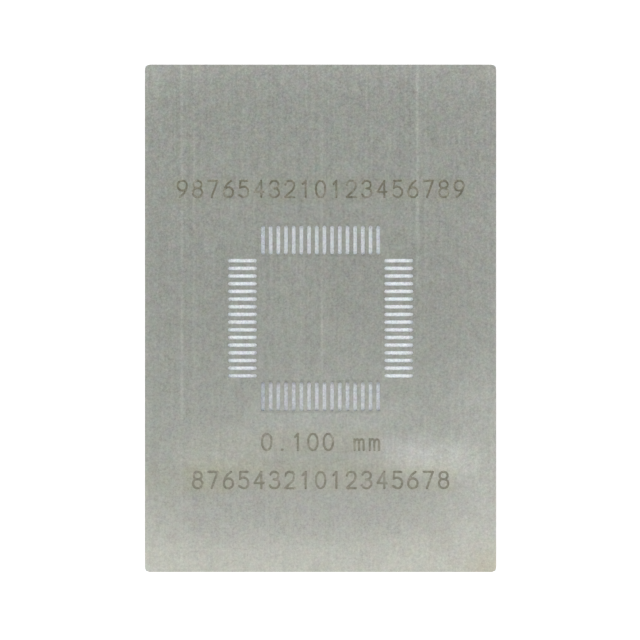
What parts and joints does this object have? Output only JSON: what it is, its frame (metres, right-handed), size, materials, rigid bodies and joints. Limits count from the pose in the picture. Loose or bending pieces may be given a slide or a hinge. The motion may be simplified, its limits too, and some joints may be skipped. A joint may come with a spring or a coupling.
{
  "type": "solder paste stencil",
  "caption": "Thin stainless steel foil with laser-cut slots round a square, for printing solder paste on the pads of a four-sided chip package.",
  "frame": {"origin": "centre of the foil's board side, under the centre of the slot pattern", "axes": "+X along the short side, +Y along the long side towards the top edge, +Z out of the squeegee side"},
  "size_m": [0.0228, 0.033, 0.0001],
  "materials": {
    "foil": "satin, rolled, with a fine grain along the foil's length"
  },
  "bodies": {
    "root": {"stencil_foil": "foil"}
  },
  "joints": []
}
